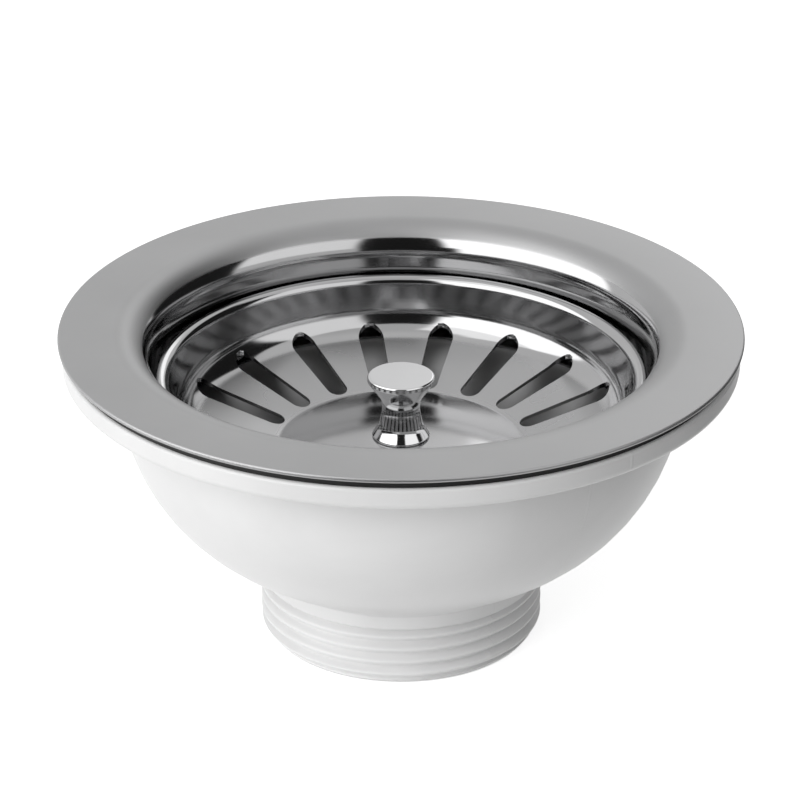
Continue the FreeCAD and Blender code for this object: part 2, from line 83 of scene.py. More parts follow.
# Roundings of the knob, from its foot to its disc
KNOB_FOOT_ROUND, KNOB_FLARE_ROUND = 0.2 * MM, 2 * MM
WAIST_LOW_ROUND, WAIST_HIGH_ROUND = 4 * MM, 3 * MM
DISC_LOW_ROUND, DISC_TOP_ROUND = 0.3 * MM, 0.4 * MM

# Roundings of the pressed sheets, the heights of their cutters, and the places in their arcs
THROAT_FOOT_ROUND, SEAT_ROUND = 4 * MM, 1.6 * MM
VALLEY_ROUND, DOME_ROUND = 2 * MM, 70 * MM
WINDOW_HUB_GAP, WINDOW_EDGE_GAP = 1 * MM, 0.5 * MM
WINDOW_BELOW, WINDOW_HEIGHT, WINDOW_PLACES = 4 * MM, 12 * MM, 12
SLOT_BELOW, SLOT_HEIGHT, SLOT_PLACES = 3 * MM, 10 * MM, 18

# Modelling: gap from a rounding to the place that keeps its run flat, welds, plays and cuts
BODY_SUPPORT, SHEET_SUPPORT, KNOB_SUPPORT = 0.15 * MM, 0.2 * MM, 0.08 * MM
WELD, TRIM = 1e-6, 1e-7
EDGE_PLAY, LEVEL_PLAY, EDGE_SEGMENTS = 0.02 * MM, 0.01 * MM, 4
LEAST_LEFT = 0.6

# Finish by distance from the axis, as (metres, roughness) stops; the ramps run from the axis to the reach
REACH = 0.06
FLANGE_FINISH = ((0.0395, 0.52), (0.0408, 0.10), (0.04300, 0.10), (0.04315, 0.46))
BASKET_FINISH = ((0.0195, 0.13), (0.0215, 0.28), (0.0345, 0.28), (0.0356, 0.11))
KNOB_FINISH = ((0.0, 0.08), (0.01, 0.07))
SCREW_FINISH = ((0.0, 0.28), (0.01, 0.24))
NUT_FINISH = ((0.006, 0.34), (0.01, 0.28))

# Details of the finishes: rings, scratches, patches, tints and mould seams
RING_LEAN, PATCH_SCALE, PATCH_SWING = 0.83, 55.0, 0.08
SCRATCH_LAYERS = ((0.5, (1500.0, 14.0, 40.0)), (2.1, (16.0, 1700.0, 40.0)))
SCRATCH_EDGE, SCRATCH_DENSITY, SCRATCH_ROUGHNESS = (0.70, 0.76), 0.15, 0.06
LEAST_ROUGHNESS, MOST_ROUGHNESS = 0.03, 0.6
TINT_PLACES, TINT_SHARES = (0.3, 0.7), (0.96, 1.03)
MOTTLE_SWING, SKIN_SHARE = 0.16, 0.25
SEAM_TURNS, SEAM_HALF_WIDTH, SEAM_HEIGHT = (-50.0, 130.0), (0.00012, 0.00032), 4.0

# Painted shade on the flange by distance from the axis, as (metres, share of its colour) stops: the drain
# floor and seat under the basket darkened towards the axis, and a ring darker on the roll
FLANGE_SHADE_TONES = ((0.024, 0.35), (0.031, 0.7), (0.035, 1.0), (0.04300, 1.0), (0.04315, 0.80),
                (0.0445, 0.86), (0.048, 1.0))

# Cards that reflections meet: first and last direction in degrees, sine of the top, and level
CARDS = (
    (-105, -20, 0.961, 2.0),
    (-105, -20, 0.80, 2.8),
    (20, 80, 0.857, 1.55),
    (-20, 20, 0.777, 0.02),
    (80, 140, 0.777, 0.02),
    (20, 80, 0.25, 0.9),
    (-26, -15, 0.3, 0.02),
)
CARD_SOFT, CARD_TOP_SOFT = 3.0, 0.012

# Room behind the cards: ranges along a direction's parts, with the levels at both ends where it has two
ROOM_FRONT, ROOM_BACK, ROOM_FALL = (-0.3, 0.1, 0.85, 1.0), (0.5, 0.7), (-0.2, 0.7, 1.1, 0.73)
MIDDLE_TOP, MIDDLE_SIDE, MIDDLE_TONE = (0.5, 0.65), (0.16, 0.26), (-0.05, 0.05, 0.92, 1.15)
PANEL_LEFT, PANEL_RIGHT, PANEL_LOW, PANEL_HIGH = (0.09, 0.13), (0.3, 0.36), (0.28, 0.34), (0.5, 0.56)
PANEL_TONE = 2.2

# Camera sensor in millimetres, and the lamp's place and aim in metres
SENSOR_WIDTH = 36.0
LAMP_PLACE, LAMP_AIM = (-0.76, -0.80, 0.52), (0, 0, 0.03)

# Floor: depth under the outlet, where it turns dark to reflections and dim, and its tone and glow there
FLOOR_DROP, FLOOR_INSET = 0.0002, 0.6
FLOOR_FRONT, FLOOR_RIGHT, FLOOR_DIM = (-0.14, -0.09), (0.09, 0.14), (-0.02, 0.16)
FLOOR_TONE, FLOOR_LOSS, FLOOR_GLOW, FLOOR_GAIN, FLOOR_SHADE = 0.8, 0.52, 0.70, 0.30, 0.95


def length_prop(name, description, default):
    """Property for a length in metres."""
    return FloatProperty(name=name, description=description, default=default, unit="LENGTH", precision=6)


def angle_prop(name, description, degrees):
    """Property for an angle, given in degrees."""
    return FloatProperty(name=name, description=description, default=math.radians(degrees), subtype="ANGLE")


def colour_prop(name, description, default):
    """Property for a colour."""
    return FloatVectorProperty(name=name, description=description, default=default, subtype="COLOR",
                               min=0.0, max=1.0)


class WasteSizes(bpy.types.PropertyGroup):
    """Sizes of the moulded body."""

    rim_radius: length_prop("Rim radius", "Outer edge of the body's rim", BODY_HIGH.x)
    rim_top: length_prop("Rim top", "Level of the rim under the flange gasket", BODY_HIGH.z)
    rim_height: length_prop("Rim height", "Rim from top to bottom", 3.8 * MM)
    bowl_radius: length_prop("Bowl radius", "Upright outside of the bowl", 47.3 * MM)
    bowl_wall: length_prop("Bowl wall", "Moulded wall thickness", 2.5 * MM)
    bowl_slope: angle_prop("Bowl slope", "Slope of the bowl floor", 31.25)
    belly_round: length_prop("Belly", "Radius of the bowl's rounded belly", 34.2 * MM)
    outlet_radius: length_prop("Outlet radius", "Crest of the outlet thread", 23.9 * MM)
    outlet_length: length_prop("Outlet length", "Outlet spigot below the bowl", 13.1 * MM)
    outlet_bore: length_prop("Outlet bore", "Radius of the water way", 20.5 * MM)
    outlet_lead: length_prop("Outlet lead", "Taper of the outlet end, inwards", 1.5 * MM)
    outlet_lead_height: length_prop("Outlet lead height", "Taper of the outlet end, upwards", 2.0 * MM)
    thread_pitch: length_prop("Thread pitch", "Rise of the thread in one turn", 2.309 * MM)
    thread_depth: length_prop("Thread depth", "Crest to root of the thread", 1.4 * MM)
    thread_top: length_prop("Thread top", "Level at which the thread has run out", 10.9 * MM)
    turn_steps: IntProperty(
        name="Steps round", description="Facets in one turn of the body",
        default=192, min=48, max=384)


class FlangeSizes(bpy.types.PropertyGroup):
    """Sizes of the pressed sink flange."""

    radius: length_prop("Radius", "Outer edge of the flange", -FLANGE_LOW.x)
    top: length_prop("Top", "Level of the flat", FLANGE_HIGH.z)
    sheet: length_prop("Sheet", "Thickness of the steel", 0.8 * MM)
    edge_round: length_prop("Edge rounding", "Rounding of the sheet's outer edge", 0.36 * MM)
    throat_radius: length_prop("Throat", "Radius of the upright wall", 41.9 * MM)
    throat_round: length_prop("Roll", "Rolled edge from flat to wall", 5.5 * MM)
    throat_depth: length_prop("Throat depth", "Flat to the foot of the wall", 19.4975 * MM)
    seat_radius: length_prop("Seat", "Outer edge of the plug seat", 28.492 * MM)
    seat_level: length_prop("Seat level", "Level of the plug seat", 27.7614 * MM)
    drain_radius: length_prop("Drain", "Inner edge of the plug seat", 19.9863 * MM)
    hub_radius: length_prop("Hub", "Flat hub under the screw head", 10.5 * MM)
    hub_level: length_prop("Hub level", "Level of the hub", 23.4784 * MM)
    hub_hole: length_prop("Hub hole", "Radius of the screw hole", 6.25 * MM)
    arm: length_prop("Arm", "Width of the arms of the cross", 5.0 * MM)
    steps: IntProperty(
        name="Steps round", description="Facets in one turn", default=256, min=64, max=384)


class BasketSizes(bpy.types.PropertyGroup):
    """Sizes of the slotted basket."""

    sheet: length_prop("Sheet", "Thickness of the steel", 0.6 * MM)
    rim_radius: length_prop("Rim", "Outer edge of the rim", 41.05 * MM)
    rim_level: length_prop("Rim level", "Top of the rim", 47.2 * MM)
    rim_lip: length_prop("Rim lip", "Turned-down edge of the rim", 1.8 * MM)
    rim_round: length_prop("Rim rounding", "Rounding of that edge", 0.8 * MM)
    brow_radius: length_prop("Brow", "Top of the wall", 38.9 * MM)
    brow_level: length_prop("Brow level", "Top of the wall", 46.5835 * MM)
    brow_round: length_prop("Brow rounding", "Rounding from rim to wall", 1.4 * MM)
    foot_radius: length_prop("Foot", "Foot of the wall", 37.73 * MM)
    foot_level: length_prop("Foot level", "Foot of the wall", 37.7502 * MM)
    foot_round: length_prop("Foot rounding", "Rounding from wall to floor", 5.2 * MM)
    valley_radius: length_prop("Valley", "Low ring round the dome", 20.598 * MM)
    valley_level: length_prop("Valley level", "Level of the low ring", 33.4151 * MM)
    dome_radius: length_prop("Dome", "Where the crown turns down", 9.998 * MM)
    dome_level: length_prop("Dome level", "Top of the dome", 34.9614 * MM)
    stem_hole: length_prop("Stem hole", "Hole for the basket screw", 2.1 * MM)
    slot_count: IntProperty(
        name="Slots", description="Drain slots round the basket", default=18, min=6, max=36)
    slot_inner: length_prop("Slot inner end", "Radius of the inner end", 21.398 * MM)
    slot_outer: length_prop("Slot outer end", "Radius of the outer end", 37.36 * MM)
    slot_narrow: length_prop("Slot narrow", "Width at the inner end", 3.6 * MM)
    slot_wide: length_prop("Slot wide", "Width at the outer end", 4.4 * MM)
    phase: angle_prop("Phase", "Turn of the basket as it lies", 18.6)
    steps: IntProperty(
        name="Steps round", description="Facets in one turn", default=252, min=72, max=360)


class KnobSizes(bpy.types.PropertyGroup):
    """Sizes of the turned knob."""

    low: length_prop("Foot level", "Underside of the knob", KNOB_LOW.z)
    high: length_prop("Top level", "Top of the knob", KNOB_HIGH.z)
    disc: length_prop("Disc", "Radius of the disc", 5.65 * MM)
    disc_edge: length_prop("Disc edge", "Edge of the disc", 0.9 * MM)
    waist: length_prop("Waist", "Radius of the waist", 3.2 * MM)
    waist_low: length_prop("Waist low", "Waist over the foot level", 4.6 * MM)
    waist_high: length_prop("Waist high", "Waist over the foot level", 6.6 * MM)
    foot: length_prop("Foot", "Radius of the foot", 4.85 * MM)
    foot_edge: length_prop("Foot edge", "Edge of the foot", 0.35 * MM)
    flare: length_prop("Flare", "Where the stem flares to the foot", 1.9 * MM)
    flare_out: length_prop("Flare out", "How far the stem stands out there", 0.55 * MM)
    bore: length_prop("Thread", "Radius of the blind thread", 2.05 * MM)
    bore_depth: length_prop("Thread depth", "Depth of the blind thread", 6.6 * MM)
    steps: IntProperty(
        name="Steps round", description="Facets in one turn", default=128, min=32, max=256)


class WasteColours(bpy.types.PropertyGroup):
    """Colours of the finishes."""

    steel: colour_prop("Steel", "Pressed stainless steel", (0.385, 0.385, 0.388))
    chrome: colour_prop("Chrome", "Plated knob", (0.55, 0.55, 0.555))
    white: colour_prop("White moulding", "Body of the waste", (0.80, 0.80, 0.80))
    black: colour_prop("Black rubber", "Gasket, plug seal and grip ring", (0.012, 0.012, 0.012))
    pale: colour_prop("Pale rubber", "Lower gasket", (0.55, 0.54, 0.52))
    dark: colour_prop("Dark moulding", "Seal carrier", (0.03, 0.03, 0.032))
    natural: colour_prop("Natural moulding", "Catch of the basket", (0.68, 0.66, 0.60))
    brass: colour_prop("Brass", "Nut in the boss", (0.60, 0.42, 0.16))


class WasteStudio(bpy.types.PropertyGroup):
    """Camera, lamp and floor."""

    camera_distance: length_prop("Camera distance", "Lens to the middle of the flange", 0.665)
    camera_rise: angle_prop("Camera rise", "Elevation of the camera over the flange", 24.33)
    camera_dip: angle_prop("Camera dip", "Aim below the middle of the flange", 1.053)
    camera_pan: angle_prop("Camera pan", "Aim to the left of the flange", 0.016)
    lens: FloatProperty(
        name="Lens", description="Focal length in millimetres", default=180.0)
    lamp_power: FloatProperty(
        name="Lamp power", description="Soft lamp at the front left", default=9.5, unit="POWER")
    lamp_size: length_prop("Lamp size", "Side of the soft lamp", 1.0)
    sky: FloatProperty(
        name="Room light", description="Light of the room on matt surfaces", default=0.48)
    floor_radius: length_prop("Floor radius", "Extent of the pale floor", 3.0)


# Helpers for modelling
def select_none():
    """Leave edit mode and deselect everything."""
    if bpy.context.object and bpy.context.object.mode != "OBJECT":
        bpy.ops.object.mode_set(mode="OBJECT")
    bpy.ops.object.select_all(action="DESELECT")


def pick(*pieces):
    """Select some pieces alone and make the first of them active."""
    select_none()
    for piece in pieces:
        piece.select_set(True)
    bpy.context.view_layer.objects.active = pieces[0]


def begin(name):
    """Start a piece from a plane merged to one point at the origin, in edit mode."""
    select_none()
    bpy.ops.mesh.primitive_plane_add(size=0.001, location=(0, 0, 0))
    piece = bpy.context.object
    piece.name = name
    piece.data.name = name
    bpy.ops.object.mode_set(mode="EDIT")
    bpy.ops.mesh.select_mode(type="VERT")
    bpy.ops.mesh.merge(type="CENTER")
    return piece


def draw_line(points):
    """Draw on from the one point of a new piece through the given places."""
    first = Vector(points[0])
    bpy.ops.transform.translate(value=first)
    at = first
    for point in points[1:]:
        step = Vector(point) - at
        bpy.ops.mesh.extrude_vertices_move(TRANSFORM_OT_translate={"value": step})
        at = Vector(point)


def smooth(share):
    """Share held between 0 and 1 and eased at both ends."""
    share = min(1.0, max(0.0, share))
    return share * share * (3 - 2 * share)


def rounded(corners, arc_step=6.0, support=0.0):
    """Places along an open outline of (across, up, rounding) corners in the XZ plane.

    Support is how far from a rounding an extra place keeps the straight run beside it flat.
    """
    at = [Vector((c[0], 0, c[1])) for c in corners]
    places = []
    for i, (_, _, rounding) in enumerate(corners):
        if not rounding or i in (0, len(corners) - 1):
            places.append(at[i])
            continue
        back = (at[i - 1] - at[i]).normalized()
        ahead = (at[i + 1] - at[i]).normalized()
        half = back.angle(ahead) / 2
        run = rounding / math.tan(half)
        middle = at[i] + (back + ahead).normalized() * (rounding / math.sin(half))
        first = at[i] + back * run - middle
        last = at[i] + ahead * run - middle
        sweep = first.angle(last)
        steps = max(2, round(math.degrees(sweep) / arc_step))
        if support and (at[i] + back * run - places[-1]).length > 2 * support:
            places.append(at[i] + back * (run + support))
        for k in range(steps + 1):
            t = k / steps
            spoke = (first * math.sin((1 - t) * sweep) + last * math.sin(t * sweep)) / math.sin(sweep)
            places.append(middle + spoke)
        if support and (at[i + 1] - at[i]).length - run > 3 * support:
            places.append(at[i] + ahead * (run + support))
    return places


def turn(steps):
    """Turn the drawn line about the upright axis and weld it."""
    bpy.ops.mesh.select_all(action="SELECT")
    bpy.ops.mesh.spin(steps=steps, angle=2 * math.pi, center=(0, 0, 0), axis=(0, 0, 1))
    bpy.ops.mesh.select_all(action="SELECT")
    bpy.ops.mesh.remove_doubles(threshold=WELD)
    bpy.ops.mesh.normals_make_consistent(inside=False)


def face_up(piece):
    """Turn the faces of an open sheet so that its upper side is outside; ends in object mode."""
    bpy.ops.object.mode_set(mode="OBJECT")
    if sum(face.normal.z * face.area for face in piece.data.polygons) < 0:
        bpy.ops.object.mode_set(mode="EDIT")
        bpy.ops.mesh.select_all(action="SELECT")
        bpy.ops.mesh.flip_normals()
        bpy.ops.object.mode_set(mode="OBJECT")


def thicken(piece, thickness):
    """Give an open sheet its thickness below its upper side."""
    wall = piece.modifiers.new("sheet", "SOLIDIFY")
    wall.thickness = thickness
    wall.offset = -1.0
    wall.use_even_offset = True
    apply_modifier(piece, wall)


def round_edge(piece, radius, width):
    """Round the two corners of a turned sheet's outer edge."""
    bpy.ops.object.mode_set(mode="EDIT")
    bpy.ops.mesh.select_mode(type="EDGE")
    bpy.ops.mesh.select_all(action="DESELECT")
    bpy.ops.object.mode_set(mode="OBJECT")
    points = [vertex.co for vertex in piece.data.vertices]
    found = 0
    for edge in piece.data.edges:
        one, two = (points[index] for index in edge.vertices)
        outside = min(one.xy.length, two.xy.length) > radius - EDGE_PLAY
        edge.select = outside and abs(one.z - two.z) < LEVEL_PLAY
        found += edge.select
    if not found:
        raise RuntimeError("no outer edge found on %s" % piece.name)
    bpy.ops.object.mode_set(mode="EDIT")
    bpy.ops.mesh.bevel(offset=width, segments=EDGE_SEGMENTS, affect="EDGES")
    bpy.ops.mesh.select_mode(type="VERT")
    bpy.ops.object.mode_set(mode="OBJECT")


def cut_away(piece, cutter):
    """Take the shape of a cutter out of a piece and remove the cutter."""
    cut = piece.modifiers.new("cut", "BOOLEAN")
    cut.operation = "DIFFERENCE"
    cut.object = cutter
    cut.solver = "EXACT"
    faces = len(piece.data.polygons)
    apply_modifier(piece, cut)
    bpy.data.objects.remove(cutter)
    if len(piece.data.polygons) < LEAST_LEFT * faces:
        raise RuntimeError("cutting %s lost most of it" % piece.name)


def finish_piece(piece, body, material, angle=35.0):
    """Smooth a finished piece, give it its finish and let it ride."""
    pick(piece)
    bpy.ops.object.shade_smooth_by_angle(angle=math.radians(angle))
    piece.data.materials.clear()
    piece.data.materials.append(material)
    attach(piece, body)


def apply_modifier(piece, modifier):
    """Apply one modifier of a piece."""
    pick(piece)
    bpy.ops.object.modifier_apply(modifier=modifier.name)


def join(pieces):
    """Join pieces into the first of them."""
    pick(*pieces)
    bpy.ops.object.join()


def raise_round(rise, count):
    """Fill the drawn line, raise it to a block and copy that evenly round the axis; ends in object mode."""
    bpy.ops.mesh.select_all(action="SELECT")
    bpy.ops.mesh.edge_face_add()
    bpy.ops.mesh.extrude_region_move(TRANSFORM_OT_translate={"value": rise})
    bpy.ops.mesh.select_all(action="SELECT")
    bpy.ops.mesh.normals_make_consistent(inside=False)
    for _ in range(count - 1):
        bpy.ops.mesh.duplicate()
        bpy.ops.transform.rotate(value=2 * math.pi / count, orient_axis="Z", center_override=(0, 0, 0))
    bpy.ops.object.mode_set(mode="OBJECT")


def open_edges(piece, level, play=WELD):
    """Select the open edges of a piece at one level, in edit mode."""
    bpy.ops.object.mode_set(mode="EDIT")
    bpy.ops.mesh.select_mode(type="EDGE")
    bpy.ops.mesh.select_all(action="DESELECT")
    bpy.ops.mesh.select_non_manifold(extend=False, use_wire=False, use_boundary=True,
                                     use_multi_face=False, use_non_contiguous=False, use_verts=False)
    bpy.ops.object.mode_set(mode="OBJECT")
    mesh = piece.data
    for edge in mesh.edges:
        if edge.select:
            low, high = level
            edge.select = all(low - play <= mesh.vertices[i].co.z <= high + play for i in edge.vertices)
    bpy.ops.object.mode_set(mode="EDIT")


# Helpers for materials
def add(tree, kind, inputs=None, **settings):
    """Add a node, set its properties, and link or set its inputs."""
    node = tree.nodes.new(kind)
    for key, value in settings.items():
        setattr(node, key, value)
    for key, value in (inputs or {}).items():
        if isinstance(value, bpy.types.NodeSocket):
            tree.links.new(value, node.inputs[key])
        else:
            node.inputs[key].default_value = value
    return node


def sums(tree, operation, first, second=0.0, third=0.0):
    """One step of arithmetic; returns its result."""
    return add(tree, "ShaderNodeMath", {0: first, 1: second, 2: third}, operation=operation).outputs[0]


def product(tree, first, *others):
    """Product of several values."""
    for other in others:
        first = sums(tree, "MULTIPLY", first, other)
    return first


def seen_rays(tree):
    """Light path, and a mask of the rays that see the studio: camera, glossy and transmission."""
    path = tree.nodes.new("ShaderNodeLightPath").outputs
    seen = sums(tree, "MAXIMUM", path["Is Camera Ray"], path["Is Glossy Ray"])
    return path, sums(tree, "MAXIMUM", seen, path["Is Transmission Ray"])


def ranged(tree, value, low, high, to_low=0.0, to_high=1.0):
    """Smooth change of a value from one range to another."""
    return add(tree, "ShaderNodeMapRange", {"Value": value, "From Min": low, "From Max": high,
                                            "To Min": to_low, "To Max": to_high},
               interpolation_type="SMOOTHSTEP").outputs["Result"]


def made_once(make):
    """Let a node group be made at its first use and shared after that."""
    def group():
        return bpy.data.node_groups.get(make.__name__) or make()
    return group


def empty_tree(owner):
    """Node tree of a material or world, emptied."""
    owner.use_nodes = True
    owner.node_tree.nodes.clear()
    return owner.node_tree


def new_group(name, inputs, outputs):
    """Empty node group with named sockets; returns tree, inputs and outputs."""
    tree = bpy.data.node_groups.new(name, "ShaderNodeTree")
    for label, kind, value in inputs:
        socket = tree.interface.new_socket(label, in_out="INPUT", socket_type=kind)
        if value is not None:
            socket.default_value = value
    for label, kind in outputs:
        tree.interface.new_socket(label, in_out="OUTPUT", socket_type=kind)
    return tree, tree.nodes.new("NodeGroupInput").outputs, tree.nodes.new("NodeGroupOutput").inputs


def use_group(tree, group, inputs):
    """Add a node group and return its outputs."""
    return add(tree, "ShaderNodeGroup", inputs, node_tree=group).outputs


@made_once
def around_axis():
    """Distance from the upright axis and direction round it."""
    tree, given, result = new_group("around_axis", [("Place", "NodeSocketVector", None)],
                                    [("Radius", "NodeSocketFloat"), ("Height", "NodeSocketFloat"),
                                     ("Turn", "NodeSocketFloat"), ("Side", "NodeSocketVector")])
    parts = add(tree, "ShaderNodeSeparateXYZ", {0: given["Place"]}).outputs
    flat = add(tree, "ShaderNodeCombineXYZ", {"X": parts["X"], "Y": parts["Y"]}).outputs[0]
    radius = add(tree, "ShaderNodeVectorMath", {0: flat}, operation="LENGTH").outputs["Value"]
    side = add(tree, "ShaderNodeVectorMath", {0: flat}, operation="NORMALIZE").outputs["Vector"]
    tree.links.new(radius, result["Radius"])
    tree.links.new(parts["Z"], result["Height"])
    tree.links.new(sums(tree, "ARCTAN2", parts["Y"], parts["X"]), result["Turn"])
    tree.links.new(side, result["Side"])
    return tree


@made_once
def turned_marks():
    """Fine rings left by spinning and polishing, broken along their length."""
    tree, given, result = new_group("turned_marks", [("Place", "NodeSocketVector", None),
                                                     ("Rings per metre", "NodeSocketFloat", 2500.0),
                                                     ("Length", "NodeSocketFloat", 2.0)],
                                    [("Height", "NodeSocketFloat"), ("Patch", "NodeSocketFloat")])
    polar = use_group(tree, around_axis(), {"Place": given["Place"]})
    across = sums(tree, "ADD", polar["Radius"], sums(tree, "MULTIPLY", polar["Height"], RING_LEAN))
    fine = sums(tree, "MULTIPLY", across, given["Rings per metre"])
    along = add(tree, "ShaderNodeVectorMath", {0: polar["Side"], 3: given["Length"]},
                operation="SCALE").outputs["Vector"]
    shift = add(tree, "ShaderNodeCombineXYZ", {"Z": fine}).outputs[0]
    spot = add(tree, "ShaderNodeVectorMath", {0: along, 1: shift}, operation="ADD").outputs["Vector"]
    noise = add(tree, "ShaderNodeTexNoise", {"Vector": spot, "Scale": 1.0, "Detail": 3.0, "Roughness": 0.65})
    tree.links.new(noise.outputs["Fac"], result["Height"])
    cloud = add(tree, "ShaderNodeTexNoise", {"Vector": given["Place"], "Scale": PATCH_SCALE, "Detail": 4.0})
    tree.links.new(cloud.outputs["Fac"], result["Patch"])
    return tree


@made_once
def hair_scratches():
    """Sparse hairline scratches in two directions."""
    tree, given, result = new_group("hair_scratches", [("Place", "NodeSocketVector", None),
                                                       ("Density", "NodeSocketFloat", 0.5)],
                                    [("Mask", "NodeSocketFloat")])
    masks = []
    for angle, stretch in SCRATCH_LAYERS:
        turned = add(tree, "ShaderNodeMapping", {"Vector": given["Place"], "Rotation": (0, 0, angle),
                                                 "Scale": stretch}).outputs[0]
        noise = add(tree, "ShaderNodeTexNoise", {"Vector": turned, "Scale": 1.0, "Detail": 1.0})
        masks.append(ranged(tree, noise.outputs["Fac"], *SCRATCH_EDGE))
    both = sums(tree, "MAXIMUM", masks[0], masks[1])
    tree.links.new(sums(tree, "MULTIPLY", both, given["Density"]), result["Mask"])
    return tree


@made_once
def moulded_grain():
    """Fine skin of a moulding with slow flow mottling."""
    tree, given, result = new_group("moulded_grain", [("Place", "NodeSocketVector", None),
                                                      ("Grain", "NodeSocketFloat", 1800.0),
                                                      ("Flow", "NodeSocketFloat", 40.0)],
                                    [("Height", "NodeSocketFloat"), ("Mottle", "NodeSocketFloat")])
    skin = add(tree, "ShaderNodeTexNoise", {"Vector": given["Place"], "Scale": given["Grain"], "Detail": 2.0})
    flow = add(tree, "ShaderNodeTexNoise", {"Vector": given["Place"], "Scale": given["Flow"], "Detail": 5.0,
                                            "Distortion": 0.6})
    tree.links.new(skin.outputs["Fac"], result["Height"])
    tree.links.new(flow.outputs["Fac"], result["Mottle"])
    return tree


def new_material(name):
    """Empty material with a Principled shader; returns material, tree, shader, place."""
    material = bpy.data.materials.new(name)
    tree = empty_tree(material)
    shader = tree.nodes.new("ShaderNodeBsdfPrincipled")
    output = tree.nodes.new("ShaderNodeOutputMaterial")
    tree.links.new(shader.outputs["BSDF"], output.inputs["Surface"])
    place = tree.nodes.new("ShaderNodeTexCoord").outputs["Object"]
    return material, tree, shader, place


def tinted(tree, value, colour):
    """Colour that varies a little with a value between 0 and 1."""
    ramp = tree.nodes.new("ShaderNodeValToRGB")
    for element, share, place in zip(ramp.color_ramp.elements, TINT_SHARES, TINT_PLACES):
        element.color = [c * share for c in colour] + [1.0]
        element.position = place
    tree.links.new(value, ramp.inputs["Fac"])
    return ramp.outputs["Color"]


def bumped(tree, shader, height, distance, strength=1.0):
    """Feed a height into the shader's normal."""
    bump = add(tree, "ShaderNodeBump", {"Height": height, "Distance": distance, "Strength": strength})
    tree.links.new(bump.outputs["Normal"], shader.inputs["Normal"])


def zoned(tree, radius, zones):
    """Value that changes with the distance from the axis, by (radius, value) stops."""
    ramp = tree.nodes.new("ShaderNodeValToRGB")
    stops = ramp.color_ramp.elements
    while len(stops) < len(zones):
        stops.new(1.0)
    for stop, (at, value) in zip(stops, zones):
        stop.position = at / REACH
        stop.color = (value, value, value, 1.0)
    tree.links.new(sums(tree, "DIVIDE", radius, REACH), ramp.inputs["Fac"])
    return ramp.outputs["Color"]


def metal(name, colour, zones, rings=2500.0, depth=0.000002, shade_tones=()):
    """Turned and polished metal whose finish changes with the radius, and whose colour, where shade tones are
    given, is darkened by radius as painted shade.
    """
    material, tree, shader, place = new_material(name)
    polar = use_group(tree, around_axis(), {"Place": place})
    marks = use_group(tree, turned_marks(), {"Place": place, "Rings per metre": rings})
    scratch = use_group(tree, hair_scratches(), {"Place": place, "Density": SCRATCH_DENSITY})["Mask"]
    base = zoned(tree, polar["Radius"], zones)
    rough = sums(tree, "ADD", base, sums(tree, "MULTIPLY_ADD", marks["Patch"], PATCH_SWING, -PATCH_SWING / 2))
    rough = sums(tree, "ADD", rough, sums(tree, "MULTIPLY", scratch, SCRATCH_ROUGHNESS))
    held = add(tree, "ShaderNodeClamp", {"Value": rough, "Min": LEAST_ROUGHNESS, "Max": MOST_ROUGHNESS})
    tree.links.new(held.outputs[0], shader.inputs["Roughness"])
    tint = tinted(tree, marks["Patch"], colour)
    if shade_tones:
        # Painted shade: the colour is darkened by the distance from the axis
        tone = zoned(tree, polar["Radius"], shade_tones)
        tint = add(tree, "ShaderNodeVectorMath", {0: tint, 1: tone}, operation="MULTIPLY").outputs["Vector"]
    tree.links.new(tint, shader.inputs["Base Color"])
    shader.inputs["Metallic"].default_value = 1.0
    bumped(tree, shader, marks["Height"], depth)
    return material


def plastic(name, colour, roughness, grain=1800.0, depth=0.00001, seams=()):
    """Moulded plastic or rubber with a fine skin; seams are mould lines at given turns."""
    material, tree, shader, place = new_material(name)
    skin = use_group(tree, moulded_grain(), {"Place": place, "Grain": grain})
    rough = sums(tree, "MULTIPLY_ADD", skin["Mottle"], MOTTLE_SWING, roughness - MOTTLE_SWING / 2)
    tree.links.new(rough, shader.inputs["Roughness"])
    height = sums(tree, "MULTIPLY", skin["Height"], SKIN_SHARE)
    tint = tinted(tree, skin["Mottle"], colour)
    if seams:
        polar = use_group(tree, around_axis(), {"Place": place})
        for seam in seams:
            apart = sums(tree, "ABSOLUTE", sums(tree, "SUBTRACT", polar["Turn"], math.radians(seam)))
            span = sums(tree, "MULTIPLY", apart, polar["Radius"])
            line = ranged(tree, span, *SEAM_HALF_WIDTH, 1.0, 0.0)
            height = sums(tree, "MULTIPLY_ADD", line, SEAM_HEIGHT, height)
    tree.links.new(tint, shader.inputs["Base Color"])
    bumped(tree, shader, height, depth)
    return material


def dress(node, material):
    """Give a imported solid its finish."""
    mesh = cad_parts[node].data
    mesh.materials.clear()
    mesh.materials.append(material)


